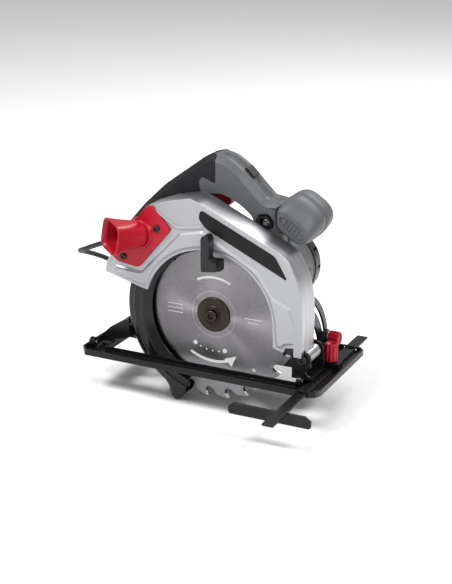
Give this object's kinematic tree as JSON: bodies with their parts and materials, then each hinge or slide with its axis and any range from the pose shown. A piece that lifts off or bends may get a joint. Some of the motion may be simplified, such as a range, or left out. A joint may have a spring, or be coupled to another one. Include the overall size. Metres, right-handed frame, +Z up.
{
  "type": "circular saw",
  "caption": "Hand-held electric circular saw with a retracting blade guard, tilting shoe, parallel guide, loop handle, dust outlet and mains lead.",
  "frame": {"origin": "on the underside of the shoe, straight below the blade spindle and 45 mm to the motor side of the blade", "axes": "+X is the cutting direction, +Y runs from the blade to the motor, +Z is up from the shoe"},
  "size_m": [0.347, 0.334, 0.2626],
  "materials": {
    "cast_alloy": "satin painted casting",
    "steel": "ground steel",
    "blade_steel": "ground and brushed",
    "black_steel": "black satin coating",
    "black_plastic": "fine texture",
    "grey_plastic": "fine texture",
    "red_plastic": "smooth satin",
    "rubber": "soft grip rubber",
    "lead_rubber": "smooth mains lead",
    "copper": "enamelled copper wire",
    "carbon": "carbon brush",
    "lamination": "stacked steel laminations"
  },
  "bodies": {
    "saw_body": {"upper_guard": "cast_alloy", "gear_case": "cast_alloy", "motor_housing": "grey_plastic", "motor_end_cap": "black_plastic", "handle_right": "grey_plastic", "handle_left": "grey_plastic", "grip_pad_right": "rubber", "grip_pad_left": "rubber", "front_handle": "grey_plastic", "dust_port": "red_plastic", "dust_port_screw_upper": "black_steel", "dust_port_screw_lower": "black_steel", "label_panel": "black_plastic", "handle_screw": "steel", "field_core": "lamination", "field_coil_front": "copper", "field_coil_rear": "copper", "brush_holder_upper": "copper", "brush_holder_lower": "copper", "brush_upper": "carbon", "brush_lower": "carbon", "spindle_bearing": "steel", "armature_front_bearing": "steel", "armature_rear_bearing": "steel", "switch_module": "black_plastic", "guard_spring": "steel", "strain_relief": "lead_rubber", "cord": "lead_rubber", "cord_coil": "lead_rubber", "plug": "black_plastic"},
    "blade_spindle": {"spindle": "steel", "driven_gear": "steel", "inner_flange": "black_steel", "saw_blade": "blade_steel", "outer_flange": "black_steel", "blade_bolt": "black_steel"},
    "armature": {"armature_shaft": "steel", "armature_core": "lamination", "commutator": "copper", "cooling_fan": "black_plastic"},
    "lower_guard_body": {"lower_guard": "black_plastic", "guard_lever": "black_plastic"},
    "trigger_body": {"trigger": "red_plastic"},
    "lock_off": {"lock_off_button": "black_plastic"},
    "spindle_lock": {"spindle_lock_button": "red_plastic"},
    "depth_lever": {"depth_lock_lever": "black_plastic"},
    "tilt_frame": {"front_pivot_bracket": "black_steel", "front_pivot_pin": "steel", "rear_tilt_bracket": "black_steel", "depth_arc_plate": "black_steel"},
    "bevel_clamp": {"bevel_knob": "red_plastic"},
    "shoe": {"shoe_plate": "black_steel", "bevel_quadrant": "black_steel", "guide_clamp": "black_steel", "front_tilt_pin": "steel", "rear_tilt_pin": "steel"},
    "guide_clamp_screw": {"guide_knob": "red_plastic"},
    "guide": {"guide_bar": "black_steel", "guide_fence": "black_steel"}
  },
  "joints": [
    {"name": "blade_spin", "type": "hinge", "parent": "saw_body", "child": "blade_spindle", "pos_m": [0, -0.045, 0.058], "axis": [0, 1, 0], "continuous": true},
    {"name": "armature_spin", "type": "hinge", "parent": "saw_body", "child": "armature", "pos_m": [0.0223, 0.015, 0.0787], "axis": [0, 1, 0], "continuous": true},
    {"name": "guard_swing", "type": "hinge", "parent": "saw_body", "child": "lower_guard_body", "pos_m": [0, -0.045, 0.058], "axis": [0, -1, 0], "range_deg": [-30, 70], "stiffness_Nm_per_rad": 0.12, "springref_deg": 108.86},
    {"name": "trigger_squeeze", "type": "hinge", "parent": "saw_body", "child": "trigger_body", "pos_m": [-0.001, 0, 0.177], "axis": [0, 1, 0], "range_deg": [0, 8], "stiffness_Nm_per_rad": 0.5, "springref_deg": -8.59},
    {"name": "lock_off_press", "type": "slide", "parent": "saw_body", "child": "lock_off", "axis": [-0.7071, 0, -0.7071], "range_m": [0, 0.003], "stiffness_N_per_m": 400, "springref_m": -0.002},
    {"name": "spindle_lock_press", "type": "slide", "parent": "saw_body", "child": "spindle_lock", "axis": [-1, 0, 0], "range_m": [0, 0.003], "stiffness_N_per_m": 500, "springref_m": -0.002},
    {"name": "depth_lever_turn", "type": "hinge", "parent": "saw_body", "child": "depth_lever", "pos_m": [-0.0963, -0.025, 0.078], "axis": [0, 1, 0], "range_deg": [-20, 25]},
    {"name": "depth_tilt", "type": "hinge", "parent": "saw_body", "child": "tilt_frame", "pos_m": [0.1025, -0.045, 0.028], "axis": [0, 1, 0], "range_deg": [-10, 13]},
    {"name": "bevel_tilt", "type": "hinge", "parent": "tilt_frame", "child": "shoe", "pos_m": [0, -0.058, 0.008], "axis": [-1, 0, 0], "range_deg": [0, 45]},
    {"name": "bevel_knob_turn", "type": "hinge", "parent": "tilt_frame", "child": "bevel_clamp", "pos_m": [0.11, 0.01602, 0.02922], "axis": [1, 0, 0], "continuous": true},
    {"name": "guide_knob_turn", "type": "hinge", "parent": "shoe", "child": "guide_clamp_screw", "pos_m": [0.113, -0.001, 0.018], "axis": [0, 0, 1], "continuous": true},
    {"name": "guide_slide", "type": "slide", "parent": "shoe", "child": "guide", "axis": [0, -1, 0], "range_m": [-0.04, 0.08]}
  ],
  "couplings": [
    {"joint": "armature_spin", "follows": "blade_spin", "ratio": -4.8}
  ]
}
